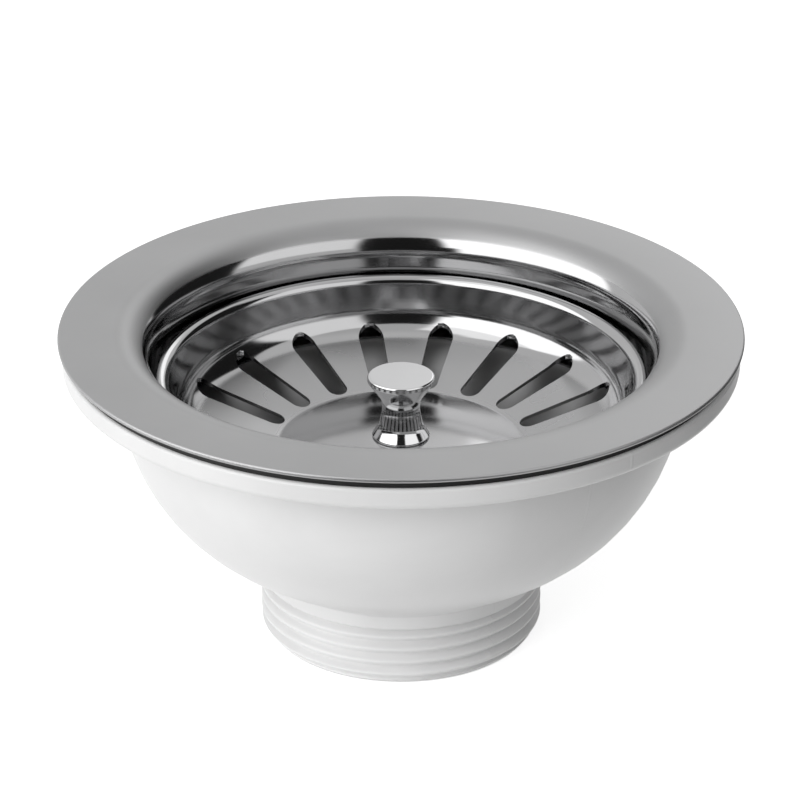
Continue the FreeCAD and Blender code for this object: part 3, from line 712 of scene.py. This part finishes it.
class WASTE_OT_body(bpy.types.Operator):
    """Model the white body: bowl, rim, boss on four webs, and threaded outlet"""

    bl_idname = "waste.body"
    bl_label = "Moulded body"

    def execute(self, context):
        sizes = context.scene.waste_sizes
        colours = context.scene.waste_colours
        shell = self.turn_shell(sizes)
        thread = self.wind_thread(sizes)
        boss = self.make_boss(sizes)
        join([shell, thread, boss])
        open_edges(shell, (sizes.thread_top, sizes.thread_top + THREAD_JOIN))
        bpy.ops.mesh.bridge_edge_loops()
        open_edges(shell, (0.0, 0.0))
        bpy.ops.mesh.fill(use_beauty=True)
        bpy.ops.mesh.select_all(action="SELECT")
        bpy.ops.mesh.normals_make_consistent(inside=False)
        white = plastic("white_moulding", colours.white, 0.36, seams=SEAM_TURNS)
        finish_piece(shell, "waste", white)
        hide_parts("waste_body")
        return {"FINISHED"}

    def turn_shell(self, sizes):
        """Bowl and rim, turned from an outline that leaves out the threaded outside."""
        tangent = math.tan(sizes.bowl_slope)
        lift = sizes.bowl_wall / math.cos(sizes.bowl_slope)
        inside = sizes.bowl_radius - sizes.bowl_wall
        rim_low = sizes.rim_top - sizes.rim_height
        groove = sizes.rim_top - GROOVE_DEPTH
        foot = sizes.outlet_length
        belly = foot + (sizes.bowl_radius - sizes.outlet_radius) * tangent
        inner_belly = foot + (inside - sizes.outlet_radius) * tangent + lift
        throat = foot - (sizes.outlet_radius - sizes.outlet_bore) * tangent + lift
        shell = begin("moulded_body")
        draw_line(rounded([
            (sizes.outlet_radius, sizes.thread_top + THREAD_JOIN, None),
            (sizes.outlet_radius, foot, NECK_ROUND),
            (sizes.bowl_radius, belly, sizes.belly_round),
            (sizes.bowl_radius, rim_low, RIM_ROOT_ROUND),
            (sizes.rim_radius, rim_low, RIM_LOW_ROUND),
            (sizes.rim_radius, sizes.rim_top, RIM_TOP_ROUND),
            (GROOVE_OUTER, sizes.rim_top, GROOVE_ROUND),
            (GROOVE_OUTER, groove, GROOVE_ROUND),
            (GROOVE_INNER, groove, GROOVE_ROUND),
            (GROOVE_INNER, sizes.rim_top, GROOVE_ROUND),
            (inside, sizes.rim_top, MOUTH_ROUND),
            (inside, inner_belly, sizes.belly_round - sizes.bowl_wall),
            (sizes.outlet_bore, throat, THROAT_ROUND),
            (sizes.outlet_bore, 0.0, END_ROUND),
            (sizes.outlet_bore + END_FLAT, 0.0, None),
        ], support=BODY_SUPPORT))
        turn(sizes.turn_steps)
        bpy.ops.object.mode_set(mode="OBJECT")
        return shell

    def wind_thread(self, sizes):
        """Outlet thread: one pitch of its outline wound up by the Screw modifier and trimmed."""
        pitch = sizes.thread_pitch
        places = []
        for k in range(THREAD_PLACES + 1):
            share = k / THREAD_PLACES
            peak = 1 - abs(2 * share - 1)
            rise = smooth((peak - THREAD_FLAT) / THREAD_FLANK)
            radius = sizes.outlet_radius - sizes.thread_depth * (1 - rise)
            places.append((radius, 0, (share - THREAD_PHASE) * pitch))
        thread = begin("outlet_thread")
        draw_line(places)
        bpy.ops.object.mode_set(mode="OBJECT")
        wind = thread.modifiers.new("wind", "SCREW")
        wind.axis = "Z"
        wind.angle = 2 * math.pi
        wind.screw_offset = pitch
        wind.iterations = THREAD_TURNS
        wind.steps = sizes.turn_steps
        wind.render_steps = sizes.turn_steps
        wind.use_merge_vertices = False
        apply_modifier(thread, wind)
        mesh = thread.data
        lead = sizes.outlet_radius - sizes.outlet_lead
        climb = sizes.outlet_lead / sizes.outlet_lead_height
        for vertex in mesh.vertices:
            place = vertex.co
            radius = math.hypot(place.x, place.y)
            fade = smooth((place.z - sizes.thread_top + THREAD_FADE_START) / THREAD_FADE)
            wanted = radius + (sizes.outlet_radius - radius) * fade
            wanted = min(wanted, max(lead + place.z * climb, lead - LEAD_ALLOWANCE))
            place.x *= wanted / radius
            place.y *= wanted / radius
        bpy.ops.object.mode_set(mode="EDIT")
        bpy.ops.mesh.select_all(action="SELECT")
        bpy.ops.mesh.remove_doubles(threshold=WELD)
        bpy.ops.mesh.bisect(plane_co=(0, 0, 0), plane_no=(0, 0, 1), clear_inner=True, threshold=TRIM)
        bpy.ops.mesh.select_all(action="SELECT")
        bpy.ops.mesh.bisect(plane_co=(0, 0, sizes.thread_top), plane_no=(0, 0, 1), clear_outer=True,
                            threshold=TRIM)
        bpy.ops.object.mode_set(mode="OBJECT")
        return thread

    def make_boss(self, sizes):
        """Centre boss with its hexagon nest, carried by four webs."""
        low, high = BOSS_LOW, FLANGE_LOW.z
        boss = begin("centre_boss")
        draw_line(rounded([
            (BOSS_START, low, None),
            (BOSS_RADIUS, low, BOSS_ROUND),
            (BOSS_RADIUS, high, BOSS_ROUND),
            (BOSS_BORE, high, BORE_ROUND),
            (BOSS_BORE, low, BORE_ROUND),
            (BOSS_START, low, None),
        ]))
        turn(sizes.turn_steps // 2)
        select_none()
        bpy.ops.mesh.primitive_cylinder_add(vertices=6, radius=NEST_RADIUS, depth=NEST_DEPTH,
                                            location=(0, 0, NEST_LEVEL), rotation=(0, 0, math.pi / 6))
        cut_away(boss, bpy.context.object)
        web = begin("web")
        tip = sizes.outlet_bore + WEB_BITE
        side = -WEB_THICKNESS / 2
        draw_line([(WEB_ROOT, side, WEB_ROOT_LOW), (tip, side, WEB_TIP_LOW),
                   (tip, side, WEB_TIP_HIGH), (WEB_ROOT, side, high - WEB_DROP)])
        raise_round((0, WEB_THICKNESS, 0), 4)
        join([boss, web])
        return boss


class WASTE_OT_flange(bpy.types.Operator):
    """Model the pressed flange: rounded edge, flat, rolled throat, seat and sunk cross"""

    bl_idname = "waste.flange"
    bl_label = "Sink flange"

    def execute(self, context):
        sizes = context.scene.flange_sizes
        flange = begin("pressed_flange")
        draw_line(rounded([
            (sizes.radius, sizes.top, None),
            (sizes.throat_radius, sizes.top, sizes.throat_round),
            (sizes.throat_radius, sizes.top - sizes.throat_depth, THROAT_FOOT_ROUND),
            (sizes.seat_radius, sizes.seat_level, THROAT_FOOT_ROUND),
            (sizes.drain_radius, sizes.seat_level, SEAT_ROUND),
            (sizes.hub_radius, sizes.hub_level, SEAT_ROUND),
            (sizes.hub_hole, sizes.hub_level, None),
        ], arc_step=5.0, support=SHEET_SUPPORT))
        turn(sizes.steps)
        face_up(flange)
        thicken(flange, sizes.sheet)
        cut_away(flange, self.make_windows(sizes))
        round_edge(flange, sizes.radius, sizes.edge_round)
        # The flange's drain floor is darkened towards the axis as painted shade
        steel = metal("flange_steel", context.scene.waste_colours.steel, FLANGE_FINISH, shade_tones=FLANGE_SHADE_TONES)
        finish_piece(flange, "waste", steel, angle=40.0)
        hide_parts("sink_flange")
        return {"FINISHED"}

    def make_windows(self, sizes):
        """Cutters for the four drain openings between the arms of the cross."""
        side = sizes.arm / 2
        places = []
        inner = sizes.hub_radius + WINDOW_HUB_GAP
        outer = sizes.drain_radius - WINDOW_EDGE_GAP
        level = sizes.hub_level - WINDOW_BELOW
        for reach, forward in ((inner, True), (outer, False)):
            edge = math.asin(side / reach)
            for k in range(WINDOW_PLACES + 1):
                share = k / WINDOW_PLACES if forward else 1 - k / WINDOW_PLACES
                angle = edge + (math.pi / 2 - 2 * edge) * share
                places.append((reach * math.cos(angle), reach * math.sin(angle), level))
        windows = begin("drain_windows")
        draw_line(places)
        raise_round((0, 0, WINDOW_HEIGHT), 4)
        return windows


class WASTE_OT_basket(bpy.types.Operator):
    """Model the slotted basket: rim, wall, ring of slots and domed middle"""

    bl_idname = "waste.basket"
    bl_label = "Strainer basket"

    def execute(self, context):
        sizes = context.scene.basket_sizes
        basket = begin("slotted_basket")
        draw_line(rounded([
            (sizes.rim_radius, sizes.rim_level - sizes.rim_lip, None),
            (sizes.rim_radius, sizes.rim_level, sizes.rim_round),
            (sizes.brow_radius, sizes.brow_level, sizes.brow_round),
            (sizes.foot_radius, sizes.foot_level, sizes.foot_round),
            (sizes.valley_radius, sizes.valley_level, VALLEY_ROUND),
            (sizes.dome_radius, sizes.dome_level, DOME_ROUND),
            (sizes.stem_hole, sizes.dome_level, None),
        ], arc_step=3.0, support=SHEET_SUPPORT))
        turn(sizes.steps)
        face_up(basket)
        thicken(basket, sizes.sheet)
        cut_away(basket, self.make_slots(sizes))
        steel = metal("basket_steel", context.scene.waste_colours.steel, BASKET_FINISH)
        finish_piece(basket, "basket", steel, angle=40.0)
        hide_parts("strainer_basket")
        return {"FINISHED"}

    def make_slots(self, sizes):
        """Cutters for the drain slots: one drawn with round ends, raised and copied round."""
        small, large = sizes.slot_narrow / 2, sizes.slot_wide / 2
        near, far = sizes.slot_inner + small, sizes.slot_outer - large
        lean = math.asin((large - small) / (far - near))
        outline = []
        for k in range(SLOT_PLACES + 1):
            angle = math.pi / 2 + lean + (math.pi - 2 * lean) * k / SLOT_PLACES
            outline.append((near + small * math.cos(angle), small * math.sin(angle)))
        for k in range(SLOT_PLACES + 1):
            angle = -math.pi / 2 - lean + (math.pi + 2 * lean) * k / SLOT_PLACES
            outline.append((far + large * math.cos(angle), large * math.sin(angle)))
        cos, sin = math.cos(sizes.phase), math.sin(sizes.phase)
        slots = begin("drain_slots")
        level = sizes.valley_level - SLOT_BELOW
        draw_line([(x * cos - y * sin, x * sin + y * cos, level) for x, y in outline])
        raise_round((0, 0, SLOT_HEIGHT), sizes.slot_count)
        return slots


class WASTE_OT_knob(bpy.types.Operator):
    """Model the turned and plated knob"""

    bl_idname = "waste.knob"
    bl_label = "Lifting knob"

    def execute(self, context):
        sizes = context.scene.knob_sizes
        low, high = sizes.low, sizes.high
        knob = begin("turned_knob")
        draw_line(rounded([
            (0, low + sizes.bore_depth, None),
            (sizes.bore, low + sizes.bore_depth, None),
            (sizes.bore, low, None),
            (sizes.foot, low, KNOB_FOOT_ROUND),
            (sizes.foot, low + sizes.foot_edge, KNOB_FOOT_ROUND),
            (sizes.waist + sizes.flare_out, low + sizes.flare, KNOB_FLARE_ROUND),
            (sizes.waist, low + sizes.waist_low, WAIST_LOW_ROUND),
            (sizes.waist, low + sizes.waist_high, WAIST_HIGH_ROUND),
            (sizes.disc, high - sizes.disc_edge, DISC_LOW_ROUND),
            (sizes.disc, high, DISC_TOP_ROUND),
            (0, high, None),
        ], arc_step=8.0, support=KNOB_SUPPORT))
        turn(sizes.steps)
        chrome = metal("knob_chrome", context.scene.waste_colours.chrome, KNOB_FINISH, rings=6000.0,
                       depth=0.000001)
        finish_piece(knob, "basket", chrome, angle=40.0)
        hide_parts("lifting_knob")
        return {"FINISHED"}


class WASTE_OT_screws(bpy.types.Operator):
    """Finish the hollow screw, the basket screw and the brass nut"""

    bl_idname = "waste.screws"
    bl_label = "Screws and nut"

    def execute(self, context):
        colours = context.scene.waste_colours
        steel = metal("screw_steel", colours.steel, SCREW_FINISH, rings=4000.0, depth=0.000004)
        dress("hollow_screw", steel)
        dress("stem_screw", steel)
        dress("insert_nut", metal("nut_brass", colours.brass, NUT_FINISH, rings=3000.0, depth=0.000004))
        return {"FINISHED"}


class WASTE_OT_rubber(bpy.types.Operator):
    """Finish the gaskets, the plug seal and the grip ring"""

    bl_idname = "waste.rubber"
    bl_label = "Gaskets and seal"

    def execute(self, context):
        colours = context.scene.waste_colours
        black = plastic("black_rubber", colours.black, 0.6, grain=2600.0, depth=0.00002)
        for node in ("upper_gasket", "plug_seal", "grip_ring"):
            dress(node, black)
        dress("lower_gasket", plastic("pale_rubber", colours.pale, 0.6, grain=2600.0, depth=0.00002))
        return {"FINISHED"}


class WASTE_OT_mouldings(bpy.types.Operator):
    """Finish the seal carrier and the catch"""

    bl_idname = "waste.mouldings"
    bl_label = "Carrier and catch"

    def execute(self, context):
        colours = context.scene.waste_colours
        dress("seal_carrier", plastic("dark_moulding", colours.dark, 0.42))
        dress("catch_spigot", plastic("natural_moulding", colours.natural, 0.38))
        return {"FINISHED"}


class WASTE_OT_stage(bpy.types.Operator):
    """Set the pale floor, the soft lamp, the room light and the camera"""

    bl_idname = "waste.stage"
    bl_label = "Studio"

    def execute(self, context):
        scene = context.scene
        studio = scene.waste_studio
        scene.view_settings.view_transform = "Standard"
        self.lay_floor(studio)
        self.light_room(scene, studio)
        self.hang_lamp(scene, studio)
        self.place_camera(scene, studio)
        return {"FINISHED"}

    def lay_floor(self, studio):
        """Round pale floor, white to the eye, with the object's shadow; in front of and to the right of the
        object it turns dark to reflections alone, a painted dark reflection in the metal.
        """
        bpy.ops.object.select_all(action="DESELECT")
        bpy.ops.mesh.primitive_circle_add(vertices=64, radius=studio.floor_radius, fill_type="NGON",
                                          location=(0, 0, 0))
        floor = bpy.context.object
        floor.name = "studio_floor"
        bpy.ops.object.mode_set(mode="EDIT")
        bpy.ops.mesh.select_all(action="SELECT")
        bpy.ops.mesh.inset(thickness=studio.floor_radius * FLOOR_INSET)
        bpy.ops.mesh.select_all(action="SELECT")
        bpy.ops.transform.translate(value=(0, 0, -FLOOR_DROP))
        bpy.ops.object.mode_set(mode="OBJECT")
        material = bpy.data.materials.new("floor_paper")
        tree = empty_tree(material)
        path, seen = seen_rays(tree)
        place = tree.nodes.new("ShaderNodeTexCoord").outputs["Object"]
        spot = add(tree, "ShaderNodeSeparateXYZ", {0: place}).outputs
        # Painted reflection: near the object, in front and to the right, the floor is dark to glossy rays
        # only
        near = sums(tree, "MAXIMUM", ranged(tree, spot["Y"], *FLOOR_FRONT, 1.0, 0.0),
                    ranged(tree, spot["X"], *FLOOR_RIGHT))
        near = sums(tree, "MULTIPLY", near, path["Is Glossy Ray"])
        shade = sums(tree, "MULTIPLY_ADD", near, -FLOOR_SHADE, 1.0)
        dim = ranged(tree, spot["X"], *FLOOR_DIM)
        tone = sums(tree, "MULTIPLY", shade, sums(tree, "MULTIPLY_ADD", dim, -FLOOR_LOSS, FLOOR_TONE))
        colour = add(tree, "ShaderNodeCombineColor", {0: tone, 1: tone, 2: tone}).outputs[0]
        paper = add(tree, "ShaderNodeBsdfDiffuse", {"Color": colour}).outputs[0]
        glow = product(tree, seen, shade, sums(tree, "MULTIPLY_ADD", dim, FLOOR_GAIN, FLOOR_GLOW))
        glow = add(tree, "ShaderNodeEmission", {"Color": (1, 1, 1, 1), "Strength": glow}).outputs[0]
        both = add(tree, "ShaderNodeAddShader", {0: paper, 1: glow}).outputs[0]
        clear = tree.nodes.new("ShaderNodeBsdfTransparent").outputs[0]
        behind = tree.nodes.new("ShaderNodeNewGeometry").outputs["Backfacing"]
        shown = add(tree, "ShaderNodeMixShader", {0: behind, 1: both, 2: clear}).outputs[0]
        output = tree.nodes.new("ShaderNodeOutputMaterial")
        tree.links.new(shown, output.inputs["Surface"])
        floor.data.materials.append(material)

    def light_room(self, scene, studio):
        """White room to the eye; reflections meet pale and dark cards hung round the lens."""
        world = bpy.data.worlds.new("studio_room")
        scene.world = world
        tree = empty_tree(world)
        path, seen = seen_rays(tree)
        way = tree.nodes.new("ShaderNodeTexCoord").outputs["Generated"]
        parts = add(tree, "ShaderNodeSeparateXYZ", {0: way}).outputs
        across, away, up = parts["X"], parts["Y"], parts["Z"]
        side = sums(tree, "ARCTAN2", across, sums(tree, "MULTIPLY", away, -1.0))

        def card(first, last, top):
            """Mask of an upright card between two directions, from the floor to the sine of its top."""
            begins = ranged(tree, side, *map(math.radians, (first - CARD_SOFT, first + CARD_SOFT)))
            ends = ranged(tree, side, *map(math.radians, (last - CARD_SOFT, last + CARD_SOFT)), 1.0, 0.0)
            height = ranged(tree, up, top - CARD_TOP_SOFT, top + CARD_TOP_SOFT, 1.0, 0.0)
            return product(tree, height, begins, ends)

        def hung(level, mask, tone):
            """Level of the room with a card of the given tone hung in it."""
            return add(tree, "ShaderNodeMix", {0: mask, 2: level, 3: tone}).outputs[0]

        white = ranged(tree, away, *ROOM_FRONT)
        behind = ranged(tree, away, *ROOM_BACK)
        middle = product(tree, behind, ranged(tree, up, *MIDDLE_TOP, 1.0, 0.0),
                         ranged(tree, sums(tree, "ABSOLUTE", across), *MIDDLE_SIDE, 1.0, 0.0))
        white = hung(white, middle, ranged(tree, across, *MIDDLE_TONE))
        panel = product(tree, behind,
                        ranged(tree, across, *PANEL_LEFT), ranged(tree, across, *PANEL_RIGHT, 1.0, 0.0),
                        ranged(tree, up, *PANEL_LOW), ranged(tree, up, *PANEL_HIGH, 1.0, 0.0))
        white = hung(white, panel, PANEL_TONE)
        for first, last, top, tone in CARDS:
            white = hung(white, card(first, last, top), tone)
        white = hung(1.0, path["Is Glossy Ray"], white)
        room = sums(tree, "MULTIPLY", ranged(tree, across, *ROOM_FALL), studio.sky)
        level = hung(room, seen, white)
        back = add(tree, "ShaderNodeBackground", {"Color": (1, 1, 1, 1), "Strength": level}).outputs[0]
        output = tree.nodes.new("ShaderNodeOutputWorld")
        tree.links.new(back, output.inputs["Surface"])

    def hang_lamp(self, scene, studio):
        """Large soft lamp at the front left."""
        lamp = bpy.data.lights.new("soft_lamp", "AREA")
        lamp.shape = "SQUARE"
        lamp.size = studio.lamp_size
        lamp.energy = studio.lamp_power
        holder = bpy.data.objects.new("soft_lamp", lamp)
        scene.collection.objects.link(holder)
        holder.location = LAMP_PLACE
        holder.visible_glossy = False
        aim = Vector(LAMP_AIM) - holder.location
        holder.rotation_euler = aim.to_track_quat("-Z", "Y").to_euler()

    def place_camera(self, scene, studio):
        """Long lens in front of and above the flange."""
        lens = bpy.data.cameras.new("camera")
        lens.lens = studio.lens
        lens.sensor_width = SENSOR_WIDTH
        camera = bpy.data.objects.new("camera", lens)
        scene.collection.objects.link(camera)
        rise = studio.camera_rise
        camera.location = (0, -studio.camera_distance * math.cos(rise),
                           FLANGE_HIGH.z + studio.camera_distance * math.sin(rise))
        camera.rotation_euler = (math.pi / 2 - rise - studio.camera_dip, 0, studio.camera_pan)
        scene.camera = camera


class WASTE_PT_panel(bpy.types.Panel):
    """Lists the pieces of the waste and their settings"""

    bl_idname = "WASTE_PT_panel"
    bl_label = "Basket strainer waste"
    bl_space_type = "VIEW_3D"
    bl_region_type = "UI"
    bl_category = "Waste"

    def draw(self, context):
        layout = self.layout
        for operator in OPERATORS:
            layout.operator(operator.bl_idname)
        for name in SETTINGS:
            settings = getattr(context.scene, name)
            box = layout.box()
            for key in settings.bl_rna.properties.keys():
                if key not in ("rna_type", "name"):
                    box.prop(settings, key)


OPERATORS = (WASTE_OT_body, WASTE_OT_flange, WASTE_OT_basket, WASTE_OT_knob, WASTE_OT_screws, WASTE_OT_rubber,
             WASTE_OT_mouldings, WASTE_OT_stage)
SETTINGS = {
    "waste_sizes": WasteSizes,
    "flange_sizes": FlangeSizes,
    "basket_sizes": BasketSizes,
    "knob_sizes": KnobSizes,
    "waste_colours": WasteColours,
    "waste_studio": WasteStudio,
}
CLASSES = (*SETTINGS.values(), *OPERATORS, WASTE_PT_panel)


def register():
    """Register the classes and hang the settings on the scene."""
    for cls in CLASSES:
        bpy.utils.register_class(cls)
    for name, settings in SETTINGS.items():
        setattr(bpy.types.Scene, name, PointerProperty(type=settings))


def unregister():
    """Take the settings and the classes away again."""
    for name in reversed(SETTINGS):
        delattr(bpy.types.Scene, name)
    for cls in reversed(CLASSES):
        bpy.utils.unregister_class(cls)


def main():
    """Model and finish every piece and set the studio."""
    register()
    bpy.ops.waste.body()
    bpy.ops.waste.flange()
    bpy.ops.waste.basket()
    bpy.ops.waste.knob()
    bpy.ops.waste.screws()
    bpy.ops.waste.rubber()
    bpy.ops.waste.mouldings()
    bpy.ops.waste.stage()


if __name__ == "__main__":
    main()
